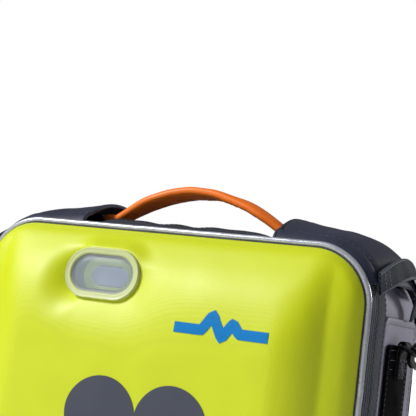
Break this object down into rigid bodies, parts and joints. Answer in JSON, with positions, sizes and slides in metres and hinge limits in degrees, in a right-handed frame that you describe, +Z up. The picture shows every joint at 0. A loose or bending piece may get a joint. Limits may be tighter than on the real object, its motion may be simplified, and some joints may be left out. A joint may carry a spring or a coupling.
{
  "type": "automated external defibrillator in carry case",
  "caption": "Automated external defibrillator in a zipped, foam-shelled carry case with an arched handle, a status window and a shoulder strap.",
  "frame": {"origin": "middle of the base pad, on the surface that the case stands on", "axes": "+Z up towards the handle, -Y out of the lid (the front), +X to the right as seen from the front"},
  "size_m": [0.3692, 0.2641, 0.3334],
  "materials": {
    "navy_fabric": "satin coated fabric",
    "lime_shell": "moulded foam faced with satin knit",
    "silver_piping": "reflective",
    "side_grey": "matt coated fabric",
    "black_fabric": "matt",
    "zipper_tape": "woven tape",
    "zipper_coil": "satin",
    "webbing_grey": "woven",
    "black_webbing": "woven",
    "orange_handle": "satin vinyl",
    "mark_blue": "printed",
    "mark_grey": "printed",
    "window_rim": "frosted translucent",
    "window_lens": "clear",
    "black_metal": "gloss black",
    "zinc": "satin",
    "base_rubber": "matt",
    "cradle_foam": "foam",
    "housing_grey": "textured",
    "housing_lime": "satin",
    "screen_glass": "gloss",
    "display_module": "satin",
    "button_green": "satin",
    "button_blue": "satin",
    "button_orange": "satin",
    "status_lavender": "satin",
    "circuit_board": "satin",
    "foil_packet": "satin foil"
  },
  "bodies": {
    "case": {"tub_shell": "navy_fabric", "tub_zipper_tape": "zipper_tape", "tub_zipper_coil": "zipper_coil", "hinge_strip": "zipper_tape", "rear_binding": "black_fabric", "back_panel": "side_grey", "base_pad": "base_rubber", "side_panel_right": "side_grey", "side_panel_left": "side_grey", "side_pocket_right": "black_fabric", "side_pocket_left": "black_fabric", "corner_cover_right": "navy_fabric", "corner_cover_left": "navy_fabric", "handle_anchor_right": "black_metal", "handle_anchor_left": "black_metal", "corner_webbing_right": "webbing_grey", "corner_webbing_left": "webbing_grey", "strap_lug_right": "black_webbing", "strap_lug_left": "black_webbing", "strap_eye_right": "black_metal", "strap_eye_left": "black_metal", "shoulder_strap": "black_webbing", "shoulder_pad": "black_fabric", "foam_cradle": "cradle_foam", "aed_rear_housing": "housing_grey", "aed_front_housing": "housing_lime", "aed_screen_glass": "screen_glass", "aed_display": "display_module", "status_indicator": "status_lavender", "pads_cover": "housing_grey", "pads_connector": "housing_grey", "battery_pack": "display_module", "main_board": "circuit_board", "discharge_capacitor": "foil_packet", "speaker": "display_module", "electrode_packet": "foil_packet"},
    "lid": {"lid_shell": "lime_shell", "lid_piping": "silver_piping", "lid_zipper_tape": "zipper_tape", "lid_zipper_coil": "zipper_coil", "window_rim": "window_rim", "window_lens": "window_lens", "lid_pocket": "black_fabric", "pulse_mark": "mark_blue", "heart_mark": "mark_grey"},
    "handle": {"handle_strap": "orange_handle"},
    "slider_lower": {"slider_lower": "zinc"},
    "pull_tab_lower": {"pull_tab_lower": "orange_handle"},
    "slider_upper": {"slider_upper": "zinc"},
    "pull_tab_upper": {"pull_tab_upper": "orange_handle"},
    "d_ring_right": {"d_ring_right": "black_metal"},
    "d_ring_left": {"d_ring_left": "black_metal"},
    "snap_hook_right": {"snap_hook_right": "black_metal"},
    "snap_hook_left": {"snap_hook_left": "black_metal"},
    "snap_gate_right": {"snap_gate_right": "zinc"},
    "snap_gate_left": {"snap_gate_left": "zinc"},
    "power_button": {"power_button": "button_green"},
    "child_button": {"child_button": "button_blue"},
    "shock_button": {"shock_button": "button_orange"}
  },
  "joints": [
    {"name": "lid_hinge", "type": "hinge", "parent": "case", "child": "lid", "pos_m": [0, -0.059, 0.0044], "axis": [1, 0, 0], "range_deg": [0, 100]},
    {"name": "handle_swing", "type": "hinge", "parent": "case", "child": "handle", "pos_m": [0, -0.028, 0.3055], "axis": [1, 0, 0], "range_deg": [-40, 40]},
    {"name": "slider_lower_travel", "type": "slide", "parent": "case", "child": "slider_lower", "axis": [0, 0, 1], "range_m": [-0.065, 0]},
    {"name": "slider_upper_travel", "type": "slide", "parent": "case", "child": "slider_upper", "axis": [0, 0, 1], "range_m": [0, 0.085]},
    {"name": "pull_tab_lower_swing", "type": "hinge", "parent": "slider_lower", "child": "pull_tab_lower", "pos_m": [-0.14365, -0.06, 0.1119], "axis": [0, 1, 0], "range_deg": [0, 100]},
    {"name": "pull_tab_upper_swing", "type": "hinge", "parent": "slider_upper", "child": "pull_tab_upper", "pos_m": [-0.14365, -0.06, 0.1519], "axis": [0, 1, 0], "range_deg": [0, 100]},
    {"name": "d_ring_right_swing", "type": "hinge", "parent": "case", "child": "d_ring_right", "pos_m": [0.1477, -0.001, 0.241], "axis": [0, 1, 0], "range_deg": [-6, 6]},
    {"name": "snap_hook_right_swivel", "type": "hinge", "parent": "case", "child": "snap_hook_right", "pos_m": [0.16781, 0.02378, 0.22095], "axis": [0.2003, 0.7814, -0.591], "range_deg": [-5, 5]},
    {"name": "snap_gate_right_open", "type": "hinge", "parent": "snap_hook_right", "child": "snap_gate_right", "pos_m": [0.1598, 0.00834, 0.22791], "axis": [-0.6258, 0.5662, 0.5364], "range_deg": [0, 22], "stiffness_Nm_per_rad": 0.02, "springref_deg": -8.59},
    {"name": "d_ring_left_swing", "type": "hinge", "parent": "case", "child": "d_ring_left", "pos_m": [-0.1477, -0.001, 0.241], "axis": [0, 1, 0], "range_deg": [-6, 6]},
    {"name": "snap_hook_left_swivel", "type": "hinge", "parent": "case", "child": "snap_hook_left", "pos_m": [-0.16781, 0.02378, 0.22095], "axis": [-0.2003, 0.7814, -0.591], "range_deg": [-5, 5]},
    {"name": "snap_gate_left_open", "type": "hinge", "parent": "snap_hook_left", "child": "snap_gate_left", "pos_m": [-0.1687, 0.01143, 0.23502], "axis": [0.6258, 0.5662, 0.5364], "range_deg": [0, 22], "stiffness_Nm_per_rad": 0.02, "springref_deg": -8.59},
    {"name": "power_button_press", "type": "slide", "parent": "case", "child": "power_button", "axis": [0, 1, 0], "range_m": [0, 0.0015], "stiffness_N_per_m": 500, "springref_m": -0.0006},
    {"name": "child_button_press", "type": "slide", "parent": "case", "child": "child_button", "axis": [0, 1, 0], "range_m": [0, 0.0015], "stiffness_N_per_m": 500, "springref_m": -0.0006},
    {"name": "shock_button_press", "type": "slide", "parent": "case", "child": "shock_button", "axis": [0, 1, 0], "range_m": [0, 0.0015], "stiffness_N_per_m": 500, "springref_m": -0.0006}
  ]
}
